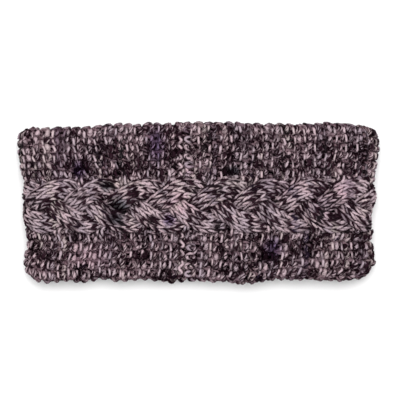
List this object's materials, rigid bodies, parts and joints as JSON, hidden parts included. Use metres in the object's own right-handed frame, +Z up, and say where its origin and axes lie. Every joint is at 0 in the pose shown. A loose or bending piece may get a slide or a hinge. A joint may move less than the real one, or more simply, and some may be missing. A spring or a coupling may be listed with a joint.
{
  "type": "knitted ear warmer headband",
  "caption": "Hand-knitted ear warmer headband lying flat: a purl band grafted into a loop, with a plaited cable along its middle.",
  "frame": {"origin": "middle of the underside of the flattened loop", "axes": "+X along the band to the right of the front, +Y across the band to its upper selvedge, +Z up through the front layer"},
  "size_m": [0.2392, 0.109, 0.0241],
  "materials": {
    "ground_yarn": "matt, hairy two-ply yarn, charcoal plum marled with dusty pink, purl side out",
    "plait_yarn": "the same marled two-ply yarn, knit side out, in strands three stitches wide"
  },
  "bodies": {
    "root": {"band": "ground_yarn", "cable_strand_1": "plait_yarn", "cable_strand_2": "plait_yarn", "cable_strand_3": "plait_yarn"}
  },
  "joints": []
}
